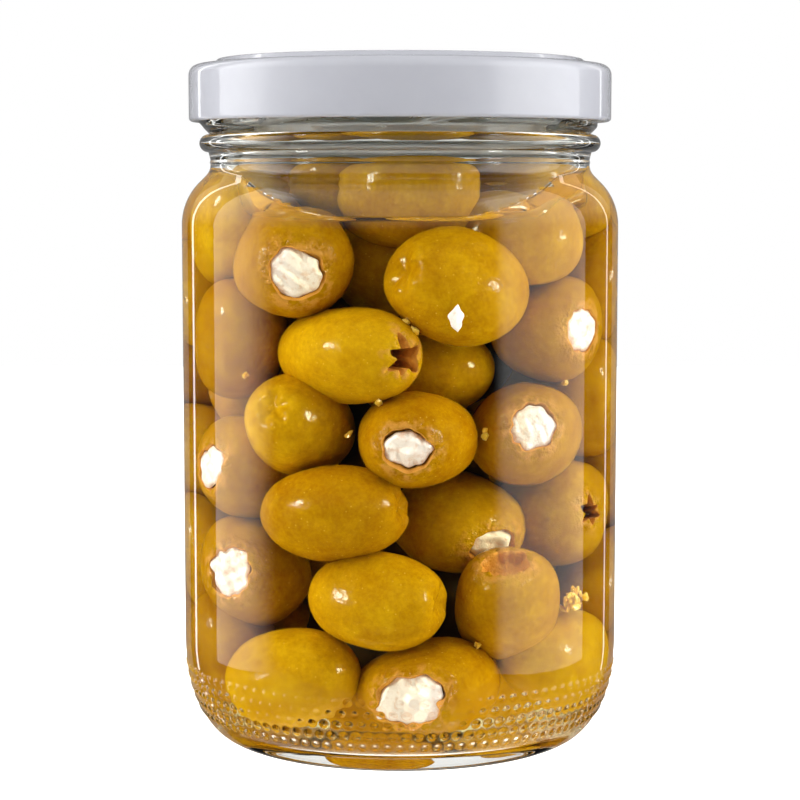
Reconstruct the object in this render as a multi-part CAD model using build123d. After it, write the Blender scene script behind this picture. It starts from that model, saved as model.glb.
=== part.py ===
from build123d import *
import math
import os

# A closed glass jar of stuffed olives in brine.  Millimetres, +Z up, with the
# origin at the centre of the foot ring that the jar stands on.

# ---- glass jar: body --------------------------------------------------------
body_diameter = 88.0
glass_height = 135.5          # foot ring to sealing rim
wall = 2.3                    # body and shoulder
heel_height = 20.3            # where the straight wall starts
heel_inset = 10.2             # foot ring radius is this much inside the body
floor_thickness = 4.6         # glass under the lowest ring of the floor
push_up = 2.6                 # rise of the middle of the base
foot_width = 3.0              # flat ring that touches the table
inner_heel_inset = 10.4       # floor corner, inside the cavity wall

# ---- glass jar: shoulder, neck and finish -----------------------------------
neck_diameter = 76.3
neck_wall = 2.5
shoulder_angle = 45.0         # slope of the shoulder
shoulder_radius = 12.0
neck_fillet = 3.0
neck_drop = 20.8              # rim down to the corner where the neck starts
bead_drop = 15.3              # rim down to the middle of the transfer bead
bead_height = 3.4
bead_proud = 2.2              # bead beyond the neck
finish_proud = 1.55           # glass under the lid beyond the neck, without its thread
finish_round = 1.0            # where the finish turns in to the bead
rim_round = 1.2
lip_depth = 2.0               # rim down to where the bore starts

# ---- thread leads -----------------------------------------------------------
lead_count = 8
lead_arc = 34.0               # degrees that one lead covers
lead_slope = 6.0              # degrees
lead_radius = 1.0             # half the height of a lead
lead_proud = 0.95             # how far it stands out of the finish
lead_drop = 9.6               # rim down to the middle of a lead
lead_turn = 24.0              # where round the neck the first lead lies

# ---- lid --------------------------------------------------------------------
lid_sheet = 0.3
thread_clearance = 0.2        # thread crest to the rolled edge
skirt_height = 11.3
shoulder_round = 2.1
panel_rise = 1.1              # raised middle of the lid
panel_inset = 5.8             # skirt to the edge of the raised middle
panel_step = 0.9              # width of the sloped step up to it
panel_round = 0.45
curl_radius = 0.78            # rolled edge
curl_turn = 270.0             # degrees that the edge is rolled
lug_arc = 9.0
lug_height = 1.5
lug_clearance = 0.35          # lug to glass

# ---- contents ---------------------------------------------------------------
headspace = 30.6              # rim down to the brine
brine_clearance = 0.1
olive_girth = 22.0            # across an olive, taken between its length and width
olive_wall_gap = 0.5          # olive to glass
olive_seat = 0.3              # lowest olives to the floor
olive_spacing = 1.0           # girths from one olive to the next in a ring
layer_pitch = 19.6
core_inset = 3.0              # plain core inside the middles of the outer olives
top_olive_count = 4
top_olive_angle = 265.0       # where the highest olive lies
top_olive_drop = 17.4         # rim down to the crown of the highest olive
top_olive_fall = 1.7          # each next one lies this much lower
top_olive_inset = 1.0         # and this much further in
girth_shares = [1.0, 0.92, 0.97, 0.89, 1.0, 0.95, 0.91]
olive_lifts = [0.0, 1.4, -1.2, 0.7, -1.6]

# ---- sizes that follow ------------------------------------------------------
body_radius = body_diameter / 2
neck_radius = neck_diameter / 2
finish_radius = neck_radius + finish_proud
cavity_radius = body_radius - wall
mouth_radius = neck_radius - neck_wall
slope = math.radians(shoulder_angle)
neck_start = glass_height - neck_drop
body_top = neck_start - (body_radius - neck_radius) * math.tan(slope)
brine_level = glass_height - headspace
thread_radius = finish_radius + lead_proud
lid_radius = thread_radius + thread_clearance + 2 * curl_radius
lid_bottom = glass_height + lid_sheet - skirt_height


def spin(outline):
    """Turn a closed outline, drawn as (radius, height), about Z."""
    return revolve(Plane.XZ * make_face(outline), Axis.Z)


def arch(radius, base, rise):
    """Half of a low round arch, from its crown on the axis to its foot."""
    curve = (radius**2 + rise**2) / (2 * rise)
    half_way = math.sqrt(curve**2 - (radius / 2) ** 2)
    return ThreePointArc(
        (0, base + rise), (radius / 2, base + rise - curve + half_way), (radius, base)
    )


def outer_outline():
    """The outside of the glass, from the middle of the base over the rim."""
    foot_radius = body_radius - heel_inset
    base_arch = arch(foot_radius - foot_width, 0, push_up)
    foot = Line((foot_radius - foot_width, 0), (foot_radius, 0))
    heel = EllipticalCenterArc(
        (foot_radius, heel_height), heel_inset, heel_height, start_angle=270, arc_size=90
    )
    bead_middle = glass_height - bead_drop
    side = FilletPolyline(
        (body_radius, heel_height),
        (body_radius, body_top),
        (neck_radius, neck_start),
        (neck_radius, bead_middle - bead_height / 2),
        radius=[shoulder_radius, neck_fillet],
    )
    bead = ThreePointArc(
        (neck_radius, bead_middle - bead_height / 2),
        (neck_radius + bead_proud, bead_middle),
        (neck_radius, bead_middle + bead_height / 2),
    )
    finish_bottom = bead_middle + bead_height / 2
    finish = FilletPolyline(
        (neck_radius, finish_bottom),
        (finish_radius, finish_bottom + finish_radius - neck_radius),
        (finish_radius, glass_height),
        (mouth_radius, glass_height),
        (mouth_radius, glass_height - lip_depth),
        radius=[finish_round, rim_round, rim_round],
    )
    return [base_arch, foot, heel, side, bead, finish]


def cavity_outline(grow=0.0):
    """The inside of the glass, from the middle of the floor to the mouth.
    A negative grow draws it that much smaller, for what fills the jar."""
    corner_radius = cavity_radius - inner_heel_inset
    radius = cavity_radius + grow
    floor = floor_thickness - grow
    mouth = mouth_radius + grow
    slope_drop = (wall - grow) / math.cos(slope)
    shoulder_top = body_top + (body_radius - mouth) * math.tan(slope) - slope_drop
    shoulder_foot = body_top + (body_radius - radius) * math.tan(slope) - slope_drop
    dome = arch(corner_radius, floor, push_up)
    corner = EllipticalCenterArc(
        (corner_radius, heel_height),
        radius - corner_radius,
        heel_height - floor,
        start_angle=270,
        arc_size=90,
    )
    side = FilletPolyline(
        (radius, heel_height),
        (radius, shoulder_foot),
        (mouth, shoulder_top),
        (mouth, glass_height - lip_depth),
        radius=[shoulder_radius - wall, neck_fillet + wall],
    )
    return [dome, corner, side]


def room_at(height, girth):
    """Radius that the middle of an olive can lie at, clear of the wall, of the
    heel and of the shoulder."""
    share = max(0.0, heel_height - height + girth / 4) / (heel_height - floor_thickness)
    heel = inner_heel_inset * (1 - math.sqrt(max(0.0, 1 - share**2)))
    needed = olive_wall_gap + girth / 2
    shoulder_foot = body_top - wall / math.cos(slope) + wall * math.tan(slope)
    below = (shoulder_foot - height) * math.cos(slope) - needed
    return min(cavity_radius - heel - needed, cavity_radius + below / math.sin(slope))


def thread_lead(angle):
    """One raised lead: a piece of ring about the finish, tipped to its slope."""
    section = Plane.XZ * Pos(thread_radius - lead_radius, 0) * Circle(lead_radius)
    ring = Rot(0, 0, -lead_arc / 2) * revolve(section, Axis.Z, lead_arc)
    tipped = Rot(lead_slope, 0, 0) * ring
    return Rot(0, 0, angle) * Pos(0, 0, glass_height - lead_drop) * tipped


def glass_jar():
    """Pressed and blown glass: one wall, cut open by the cavity."""
    middle = Line((0, push_up), (0, floor_thickness + push_up))
    body = spin(outer_outline() + [middle] + cavity_outline())
    leads = [thread_lead(lead_turn + i * 360 / lead_count) for i in range(lead_count)]
    return body.fuse(*leads)


def sheet_path(inset):
    """The lid's sheet from its middle to the end of the rolled edge, drawn
    this far inside its outer face."""
    ring_top = glass_height + lid_sheet
    step_length = math.hypot(panel_step, panel_rise)
    panel_radius = lid_radius - panel_inset - inset * (step_length - panel_step) / panel_rise
    flat = FilletPolyline(
        (0, ring_top + panel_rise - inset),
        (panel_radius, ring_top + panel_rise - inset),
        (panel_radius + panel_step, ring_top - inset),
        (lid_radius - inset, ring_top - inset),
        (lid_radius - inset, lid_bottom + curl_radius),
        radius=[panel_round - inset, panel_round + inset, shoulder_round - inset],
    )
    middle = (lid_radius - curl_radius, lid_bottom + curl_radius)
    return flat, CenterArc(middle, curl_radius - inset, 0, -curl_turn)


def lid():
    """Pressed steel lid: raised middle, shoulder, skirt and rolled edge, with
    lugs pressed inwards that hold under the thread leads."""
    outside, outside_curl = sheet_path(0)
    inside, inside_curl = sheet_path(lid_sheet)
    middle = Line(outside @ 0, inside @ 0)
    end = Line(outside_curl @ 1, inside_curl @ 1)
    shell = spin([outside, outside_curl, end, inside_curl, inside, middle])
    lug_tip = finish_radius + lug_clearance
    lug_root = lid_radius - curl_radius
    section = Plane.XZ * Pos((lug_tip + lug_root) / 2, lid_bottom + curl_radius) * RectangleRounded(
        lug_root - lug_tip, lug_height, lug_height / 4
    )
    lug = Rot(0, 0, -lug_arc / 2) * revolve(section, Axis.Z, lug_arc)
    step = 360 / lead_count
    lugs = [Rot(0, 0, lead_turn + (i + 0.5) * step) * lug for i in range(lead_count)]
    return shell.fuse(*lugs)


def olive(radius, angle, height, girth, grow):
    """One olive's bulge in the heap, at a place about the jar's axis."""
    return Rot(0, 0, angle) * Pos(radius, 0, height) * Sphere(girth / 2 + grow)


def olive_heap(grow=0.0):
    """Rings of olives against the glass, over a plain core, and a few on top
    that stand out of the brine."""
    ring_radius = cavity_radius - olive_wall_gap - olive_girth / 2
    count = int(2 * math.pi * ring_radius / (olive_girth * olive_spacing))
    lowest = floor_thickness + push_up + olive_seat + olive_girth / 2
    layers = int((brine_level - lowest) / layer_pitch) + 1
    pieces = []
    for layer in range(layers):
        for i in range(count):
            k = layer * count + i
            girth = olive_girth * girth_shares[k % len(girth_shares)]
            lift = 0.0 if layer == 0 else olive_lifts[k % len(olive_lifts)]
            height = lowest + layer * layer_pitch + lift
            turn = (i + layer / 2) * 360 / count
            pieces.append(olive(room_at(height, girth), turn, height, girth, grow))
    top_ring = mouth_radius - 2 * olive_wall_gap - olive_girth / 2
    crown = glass_height - top_olive_drop - olive_girth / 2
    for i in range(top_olive_count):
        angle = top_olive_angle + i * 360 / top_olive_count
        radius = top_ring - i * top_olive_inset
        height = crown - i * top_olive_fall
        pieces.append(olive(radius, angle, height, olive_girth, grow))
    core = Pos(0, 0, lowest - grow) * Cylinder(
        ring_radius - core_inset + grow,
        crown - lowest - core_inset + 2 * grow,
        align=(Align.CENTER, Align.CENTER, Align.MIN),
    )
    return core.fuse(*pieces)


def brine():
    """The brine: the cavity up to its level, less the olives in it."""
    outline = cavity_outline(-brine_clearance)
    top = outline[-1] @ 1
    close = Polyline((top.X, top.Y), (0, top.Y), outline[0] @ 0)
    full = spin(outline + [close])
    block = Pos(0, 0, brine_level) * Cylinder(
        body_diameter, glass_height, align=(Align.CENTER, Align.CENTER, Align.MIN)
    )
    return full.cut(block).cut(olive_heap(brine_clearance))


os.makedirs("parts", exist_ok=True)
export_step(glass_jar(), "parts/glass_jar.step")
export_step(lid(), "parts/lid.step")
export_step(olive_heap(), "parts/olives.step")
export_step(brine(), "parts/brine.step")
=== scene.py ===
import math

import bmesh
import bpy
import numpy as np
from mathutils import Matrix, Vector


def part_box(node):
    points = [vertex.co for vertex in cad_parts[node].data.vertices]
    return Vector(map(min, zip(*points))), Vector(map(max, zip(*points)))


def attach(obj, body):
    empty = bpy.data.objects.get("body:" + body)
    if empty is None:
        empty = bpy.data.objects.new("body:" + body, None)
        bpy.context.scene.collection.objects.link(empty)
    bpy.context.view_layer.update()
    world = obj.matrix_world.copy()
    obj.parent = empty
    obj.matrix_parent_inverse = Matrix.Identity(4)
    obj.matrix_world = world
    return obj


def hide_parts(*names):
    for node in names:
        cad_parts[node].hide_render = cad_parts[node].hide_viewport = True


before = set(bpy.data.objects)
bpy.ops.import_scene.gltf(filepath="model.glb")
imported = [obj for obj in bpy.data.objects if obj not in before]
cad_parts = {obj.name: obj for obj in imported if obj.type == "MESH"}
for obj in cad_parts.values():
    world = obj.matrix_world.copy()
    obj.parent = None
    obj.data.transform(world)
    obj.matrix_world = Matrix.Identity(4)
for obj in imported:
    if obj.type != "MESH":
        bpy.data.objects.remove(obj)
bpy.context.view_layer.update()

# Glass jar: clear flint glass, pressed and blown in a two-part mould, so it has
# a seam round the neck, raised leads that hold the lid, and rows of raised dots
# round the heel that keep it from slipping on the filling line.

MM = 0.001
glass_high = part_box("glass_jar")[1]
body_radius = glass_high.x / MM
glass_height = glass_high.z / MM
brine_clearance = 0.1
brine_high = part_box("brine")[1]
brine_level = brine_high.z / MM
cavity_radius = brine_high.x / MM + brine_clearance
wall = body_radius - cavity_radius
heel_height = 20.3
heel_inset = 10.2
foot_width = 3.0
push_up = 2.6
floor_thickness = 4.6
inner_heel_inset = 10.4
neck_radius = body_radius - 5.85
neck_wall = 2.5
neck_start = glass_height - 20.8
shoulder_radius = 12.0
neck_fillet = 3.0
bead_middle = glass_height - 15.3
bead_height = 3.4
bead_proud = 2.2
finish_radius = neck_radius + 1.55
rim_round = 1.2
ring_count = 220
glass_index = 1.52

seam_height = glass_height - 19.1
seam_proud = 0.12
lead_count = 8
first_lead = 24.0  # degrees from the front
lead_arc = 40.0  # degrees that one lead covers
lead_rise = 3.4
lead_half = 1.1
lead_proud = 0.95
lead_drop = 9.4

dots_round = 110
dot_rows = 5
dot_row_pitch = 2.35
dot_size = 1.55
dot_height = 0.26
dots_inset = 2.2  # mm from the body to the middle of the rows
dots_start = 8.6  # mm up the heel from the foot to the lowest row
fine_ring = 8 * dots_round
off_heel = 100.0  # mm, a distance that is past every row


def rounded(corners, radii, spacing):
    """Points along straight runs whose corners are rounded to these radii."""
    corners = [np.array(c, float) for c in corners]
    run = [corners[0]]
    for before, corner, after, radius in zip(corners, corners[1:], corners[2:], radii):
        inward = (before - corner) / np.linalg.norm(before - corner)
        onward = (after - corner) / np.linalg.norm(after - corner)
        half = math.acos(float(np.clip(inward @ onward, -1, 1))) / 2
        setback = radius / math.tan(half)
        middle = corner + (inward + onward) / np.linalg.norm(inward + onward) * radius / math.sin(half)
        first = corner + inward * setback - middle
        last = corner + onward * setback - middle
        turn = math.pi - 2 * half
        steps = max(2, math.ceil(turn * radius / spacing))
        for i in range(steps + 1):
            share = i / steps
            weight_first = math.sin((1 - share) * turn) / math.sin(turn)
            weight_last = math.sin(share * turn) / math.sin(turn)
            run.append(middle + first * weight_first + last * weight_last)
    run.append(corners[-1])
    return run


def divided(run, spacing):
    """The same run with points no further apart than the spacing."""
    points = [np.array(run[0], float)]
    for end in run[1:]:
        start = points[-1].copy()
        steps = max(1, math.ceil(np.linalg.norm(end - start) / spacing - 1e-6))
        points += [start + (end - start) * (i + 1) / steps for i in range(steps)]
    return points


def heel_point(angle, middle_radius, across, low):
    """A point on the rounded heel, from 0 at its foot to 90 degrees at the wall."""
    turn = math.radians(angle)
    return (middle_radius + across * math.sin(turn), heel_height - (heel_height - low) * math.cos(turn))


def cavity_run(grow, spacing):
    """The inside of the glass from the middle of the floor up to the mouth."""
    corner_radius = cavity_radius - inner_heel_inset
    radius = cavity_radius + grow
    floor = floor_thickness - grow
    mouth = neck_radius - neck_wall + grow
    slope_drop = (wall - grow) * math.sqrt(2)
    body_top = neck_start - (body_radius - neck_radius)
    dome = [(corner_radius * share, floor + push_up * (1 - share**2)) for share in np.linspace(0, 1, 12)]
    corner = [heel_point(a, corner_radius, radius - corner_radius, floor) for a in np.linspace(0, 90, 22)]
    side = rounded(
        [
            (radius, heel_height),
            (radius, body_top + body_radius - radius - slope_drop),
            (mouth, body_top + body_radius - mouth - slope_drop),
            (mouth, glass_height - 2.0),
        ],
        [shoulder_radius - wall, neck_fillet + wall],
        0.8,
    )
    return [np.array(p) for p in dome[:-1] + corner[:-1]] + divided(side, spacing)


def outer_run():
    """The outside of the glass from the middle of the base up over the rim.
    Returns the points and, for each, its distance along the heel in mm."""
    foot_radius = body_radius - heel_inset
    arch_radius = foot_radius - foot_width
    base = [(arch_radius * s, push_up * (1 - s**2)) for s in np.linspace(0, 1, 13)]
    base += [(arch_radius + foot_width * s, 0.0) for s in (0.2, 0.5, 0.8)]
    fine = np.array([heel_point(a, foot_radius, heel_inset, 0) for a in np.linspace(0, 90, 2000)])
    length = np.concatenate([[0], np.cumsum(np.linalg.norm(np.diff(fine, axis=0), axis=1))])
    band_high = dots_start + (dot_rows + 0.3) * dot_row_pitch
    marks = np.concatenate(
        [
            np.arange(0, dots_start - 0.9, 0.9),
            np.arange(dots_start, band_high, 0.3),
            np.arange(band_high + 0.5, length[-1], 1.2),
        ]
    )
    heel = [(np.interp(m, length, fine[:, 0]), np.interp(m, length, fine[:, 1])) for m in marks]
    body_top = neck_start - (body_radius - neck_radius)
    side = divided(
        rounded(
            [
                (body_radius, heel_height),
                (body_radius, body_top),
                (neck_radius, neck_start),
                (neck_radius, bead_middle - bead_height / 2),
            ],
            [shoulder_radius, neck_fillet],
            0.7,
        ),
        6.0,
    )
    neck = []
    for point in side:
        if point[1] < seam_height - 1.0 or point[0] > neck_radius + 0.2:
            neck.append(point)
    for lift in np.arange(-0.5, 0.51, 0.125):
        bump = seam_proud * max(0.0, math.cos(math.pi * lift)) ** 2
        neck.append((neck_radius + bump, seam_height + lift))
    half = bead_height / 2
    bead_curve = (half**2 + bead_proud**2) / (2 * bead_proud)
    bead_turn = math.pi - math.asin(half / bead_curve)
    bead = []
    for t in np.linspace(-bead_turn, bead_turn, 17):
        radius = neck_radius + bead_proud - bead_curve + bead_curve * math.cos(t)
        bead.append((radius, bead_middle + bead_curve * math.sin(t)))
    finish = divided(
        rounded(
            [
                (neck_radius, bead_middle + half),
                (finish_radius, bead_middle + half + finish_radius - neck_radius),
                (finish_radius, glass_height),
                (neck_radius - neck_wall, glass_height),
                (neck_radius - neck_wall, glass_height - 2.0),
            ],
            [1.0, rim_round, rim_round],
            0.35,
        ),
        0.35,
    )
    points = [np.array(p, float) for p in base + heel + neck + bead[1:-1] + finish]
    run = [-off_heel] * len(base) + [m - dots_start - 0.15 * dot_row_pitch for m in marks]
    run += [off_heel] * (len(points) - len(run))
    return points, run


def spun_mesh(name, points, counts, shape=None):
    """A closed mesh of rings about Z, in mm.  A ring may have twice or half as
    many points as the one before it, and a ring at the axis is one point."""
    coords = []
    starts = []
    total = 0
    for (radius, height), count in zip(points, counts):
        starts.append(total)
        if radius < 1e-6:
            coords.append(np.array([[0, 0, height]]))
            total += 1
            continue
        turn = np.arange(count) * 2 * np.pi / count
        ring = np.full(count, float(radius))
        if shape is not None:
            ring = ring + shape(turn, np.full(count, float(height)), ring)
        coords.append(np.stack([ring * np.cos(turn), ring * np.sin(turn), np.full(count, height)], 1))
        total += count
    faces = []
    for i in range(len(points) - 1):
        low, high = starts[i], starts[i + 1]
        many, more = counts[i], counts[i + 1]
        if points[i][0] < 1e-6:
            faces += [(low, high + (j + 1) % more, high + j) for j in range(more)]
        elif points[i + 1][0] < 1e-6:
            faces += [(low + j, low + (j + 1) % many, high) for j in range(many)]
        elif many == more:
            faces += [
                (low + j, low + (j + 1) % many, high + (j + 1) % many, high + j) for j in range(many)
            ]
        elif more == 2 * many:
            for j in range(many):
                middle = high + 2 * j + 1
                faces.append((low + j, middle, high + 2 * j))
                faces.append((low + j, low + (j + 1) % many, middle))
                faces.append((low + (j + 1) % many, high + (2 * j + 2) % more, middle))
        else:
            for j in range(more):
                middle = low + 2 * j + 1
                faces.append((low + 2 * j, middle, high + j))
                faces.append((middle, high + (j + 1) % more, high + j))
                faces.append((middle, low + (2 * j + 2) % many, high + (j + 1) % more))
    return mesh_piece(name, np.concatenate(coords), faces)


def mesh_piece(name, coords, faces, smooth=True):
    """A mesh object from points in mm, at the origin."""
    mesh = bpy.data.meshes.new(name)
    mesh.from_pydata((np.asarray(coords) * MM).tolist(), [], faces)
    mesh.update()
    if smooth:
        mesh.polygons.foreach_set("use_smooth", [True] * len(mesh.polygons))
    piece = bpy.data.objects.new(name, mesh)
    bpy.context.scene.collection.objects.link(piece)
    return piece


def add_node(tree, kind, links=(), **settings):
    """Adds a node: settings that are its own properties are set on it, the
    others are values for the inputs of that name, or of that number after an
    underscore; links are (input, output)."""
    node = tree.nodes.new(kind)
    for key, value in settings.items():
        if hasattr(node, key):
            setattr(node, key, value)
        else:
            place = int(key[1:]) if key[0] == "_" else key.replace("_", " ")
            node.inputs[place].default_value = value
    for target, source in links:
        tree.links.new(source, node.inputs[target])
    return node


def linear(hex_colour):
    """An sRGB hex colour as linear red, green, blue and alpha."""
    channels = [int(hex_colour[i : i + 2], 16) / 255 for i in (0, 2, 4)]
    return [c / 12.92 if c <= 0.04045 else ((c + 0.055) / 1.055) ** 2.4 for c in channels] + [1.0]


def new_material(name):
    """A material and its empty node tree."""
    material = bpy.data.materials.new(name)
    material.use_nodes = True
    material.node_tree.nodes.clear()
    return material, material.node_tree


def clear_material(name, tint, shadow_tint, ior, depth_tint=None, depth_density=0.0):
    """A clear solid or liquid: it bends light, and lets lamp light through to
    what is inside it with only its tint.  A depth tint colours it the more the
    further light goes in it."""
    material, tree = new_material(name)
    body = add_node(
        tree,
        "ShaderNodeBsdfPrincipled",
        Base_Color=linear(tint),
        Roughness=0.0,
        IOR=ior,
        Transmission_Weight=1.0,
    )
    passing = add_node(tree, "ShaderNodeBsdfTransparent", Color=linear(shadow_tint))
    path = add_node(tree, "ShaderNodeLightPath")
    lighting = add_node(
        tree,
        "ShaderNodeMath",
        [(0, path.outputs["Is Shadow Ray"]), (1, path.outputs["Is Diffuse Ray"])],
        operation="MAXIMUM",
    )
    mixed = add_node(
        tree,
        "ShaderNodeMixShader",
        [(0, lighting.outputs[0]), (1, body.outputs[0]), (2, passing.outputs[0])],
    )
    output = add_node(tree, "ShaderNodeOutputMaterial", [("Surface", mixed.outputs[0])])
    if depth_tint is not None:
        depth = add_node(
            tree, "ShaderNodeVolumeAbsorption", Color=linear(depth_tint), Density=depth_density
        )
        tree.links.new(depth.outputs[0], output.inputs["Volume"])
    return material


def flint_glass():
    """Soda-lime container glass: colourless in the wall, with a faint green
    where the eye looks through a long way of it."""
    return clear_material("flint_glass", "FBFDFA", "F6F8F4", glass_index)


def wetted_glass():
    """Inner face of the glass where brine lies against it: nothing shows there,
    and the brine itself does the bending."""
    material, tree = new_material("wetted_glass")
    clear = add_node(tree, "ShaderNodeBsdfTransparent", Color=linear("FFFFFF"))
    add_node(tree, "ShaderNodeOutputMaterial", [("Surface", clear.outputs[0])])
    return material


def lead_shape(turn, height, radius):
    """How far the thread leads stand out of the finish."""
    out = np.zeros_like(turn)
    for i in range(lead_count):
        middle = math.radians(first_lead - 90 + i * 360 / lead_count)
        away = (turn - middle + np.pi) % (2 * np.pi) - np.pi
        along = np.degrees(away) / (lead_arc / 2)
        centre = glass_height - lead_drop + lead_rise / 2 * along
        across = np.clip(np.abs(height - centre) / lead_half, 0, 1)
        ends = np.clip((1 - np.abs(along)) * 5, 0, 1)
        ends = ends * ends * (3 - 2 * ends)
        out = np.maximum(out, lead_proud * np.cos(across * np.pi / 2) * ends)
    return np.where(radius > neck_radius + 0.3, out, 0.0)


def sized_tree(name, values):
    """A Geometry Nodes tree with a geometry input and output and a number input
    for each label and value.  Also its two ends and what to set on each input."""
    tree = bpy.data.node_groups.new(name, "GeometryNodeTree")
    face = tree.interface
    face.new_socket("Geometry", in_out="INPUT", socket_type="NodeSocketGeometry")
    sizes = {}
    for label, value in values.items():
        socket = face.new_socket(label, in_out="INPUT", socket_type="NodeSocketFloat")
        sizes[label] = (socket.identifier, float(value))
    face.new_socket("Geometry", in_out="OUTPUT", socket_type="NodeSocketGeometry")
    return tree, tree.nodes.new("NodeGroupInput"), tree.nodes.new("NodeGroupOutput"), sizes


def stipple_nodes(material):
    """Geometry Nodes that raise the rows of dots round the heel."""
    values = {
        "Dots round": dots_round,
        "Rows": dot_rows,
        "Row pitch": dot_row_pitch,
        "Dot size": dot_size,
        "Dot height": dot_height * MM,
    }
    tree, start, end, sizes = sized_tree("heel_dots", values)
    turn_round = 2 * math.pi * (body_radius - dots_inset)
    known = {label: start.outputs[label] for label in values}
    for name in ("heel_run", "turn"):
        known[name] = add_node(
            tree, "GeometryNodeInputNamedAttribute", data_type="FLOAT", Name=name
        ).outputs[0]
    # each step is what it works out, how, and from which two, known by name or a number
    for result, operation, *sources in (
        ("place", "DIVIDE", "heel_run", "Row pitch"),
        ("row", "FLOOR", "place"),
        ("part", "FRACT", "place"),
        ("low", "SUBTRACT", "part", 0.5),
        ("down", "MULTIPLY", "low", "Row pitch"),
        ("odd", "MODULO", "row", 2.0),
        ("stagger", "MULTIPLY", "odd", 0.5),
        ("dots", "MULTIPLY", "turn", "Dots round"),
        ("across", "ADD", "dots", "stagger"),
        ("beside", "FRACT", "across"),
        ("left", "SUBTRACT", "beside", 0.5),
        ("dot_pitch", "DIVIDE", turn_round, "Dots round"),
        ("side", "MULTIPLY", "left", "dot_pitch"),
        ("side_squared", "MULTIPLY", "side", "side"),
        ("down_squared", "MULTIPLY", "down", "down"),
        ("away_squared", "ADD", "side_squared", "down_squared"),
        ("away", "SQRT", "away_squared"),
        ("dot_radius", "MULTIPLY", "Dot size", 0.5),
        ("near", "DIVIDE", "away", "dot_radius"),
        ("near_squared", "MULTIPLY", "near", "near"),
        ("rest", "SUBTRACT", 1.0, "near_squared"),
        ("bowl", "MAXIMUM", "rest", 0.0),
        ("dome", "POWER", "bowl", 0.8),
        ("above", "GREATER_THAN", "row", -0.5),
        ("below", "LESS_THAN", "row", "Rows"),
        ("inside", "MULTIPLY", "above", "below"),
        ("share", "MULTIPLY", "dome", "inside"),
        ("lift", "MULTIPLY", "share", "Dot height"),
    ):
        links = [(i, known[s]) for i, s in enumerate(sources) if isinstance(s, str)]
        numbers = {f"_{i}": s for i, s in enumerate(sources) if not isinstance(s, str)}
        step = add_node(tree, "ShaderNodeMath", links, operation=operation, **numbers)
        known[result] = step.outputs[0]
    normal = add_node(tree, "GeometryNodeInputNormal")
    links = [("Vector", normal.outputs[0]), ("Scale", known["lift"])]
    offset = add_node(tree, "ShaderNodeVectorMath", links, operation="SCALE")
    links = [("Geometry", start.outputs["Geometry"]), ("Offset", offset.outputs[0])]
    moved = add_node(tree, "GeometryNodeSetPosition", links)
    real = add_node(tree, "GeometryNodeRealizeInstances", [("Geometry", moved.outputs[0])])
    links = [("Geometry", real.outputs[0])]
    coated = add_node(tree, "GeometryNodeSetMaterial", links, Material=material)
    tree.links.new(coated.outputs[0], end.inputs[0])
    return tree, sizes


def settled(piece, tree, sizes, name):
    """Runs a Geometry Nodes tree on a piece and keeps the result as a mesh."""
    modifier = piece.modifiers.new(tree.name, "NODES")
    modifier.node_group = tree
    for identifier, value in sizes.values():
        modifier[identifier] = value
    graph = bpy.context.evaluated_depsgraph_get()
    mesh = bpy.data.meshes.new_from_object(piece.evaluated_get(graph), depsgraph=graph)
    mesh.name = name
    piece.modifiers.clear()
    result = bpy.data.objects.new(name, mesh)
    bpy.context.scene.collection.objects.link(result)
    bpy.data.objects.remove(piece)
    return result


glass_points, heel_run = outer_run()
inner_points = cavity_run(0.0, 6.0)[::-1]
counts = []
for point, run in zip(glass_points, heel_run):
    in_band = -0.6 < run < dot_rows * dot_row_pitch + 0.6
    counts.append(fine_ring if in_band else ring_count)
for i in range(1, len(counts)):
    if counts[i] == fine_ring and counts[i - 1] == ring_count:
        counts[i] = fine_ring // 2
        break
for i in range(len(counts) - 2, 0, -1):
    if counts[i] == fine_ring and counts[i + 1] == ring_count:
        counts[i] = fine_ring // 2
        break
inner_count = len(inner_points) - 1
blank_points = glass_points + inner_points[1:]
counts += [ring_count] * inner_count
blank = spun_mesh("glass_blank", blank_points, counts, lead_shape)
run_values = []
turn_values = []
for (radius, height), count, run in zip(blank_points, counts, heel_run + [off_heel] * inner_count):
    many = 1 if radius < 1e-6 else count
    run_values += [run] * many
    turn_values += list(np.arange(many) / many)
blank.data.attributes.new("heel_run", "FLOAT", "POINT").data.foreach_set("value", run_values)
blank.data.attributes.new("turn", "FLOAT", "POINT").data.foreach_set("value", turn_values)
glass_look = flint_glass()
blank.data.materials.append(glass_look)
glass_tree, glass_sizes = stipple_nodes(glass_look)
glass = settled(blank, glass_tree, glass_sizes, "glass_wall")
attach(glass, "root")
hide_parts("glass_jar")

# Brine: the golden liquid that the olives keep in.  It fills the jar up to its
# level and reaches just into the wall.  It climbs the glass a little in front,
# and round the sides, where olives lie close to the shoulder, it is drawn up
# between them and the glass as far as the neck.

cavity_wall = np.array(cavity_run(0.0, 1.0)[12:])


def cavity_radius_at(height):
    """Radius of the cavity at a height."""
    return np.interp(height, cavity_wall[:, 1], cavity_wall[:, 0])


brine_reach = 0.12
front_climb = 1.0
side_climb = 9.6
climb_starts = 14.0
climb_ends = 66.0
climb_width = 1.6
rim_rings = 9
brine_index = 1.36
brine_depth_tint = "F8EC00"
brine_depth_density = 14.0


def climb(turn):
    """How high the brine stands on the glass above its level, by bearing."""
    bearing = np.degrees(np.abs((turn + np.pi / 2 + np.pi) % (2 * np.pi) - np.pi))
    share = np.clip((bearing - climb_starts) / (climb_ends - climb_starts), 0, 1)
    return front_climb + (side_climb - front_climb) * share**1.7 * (2.2 - 1.2 * share)


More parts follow.
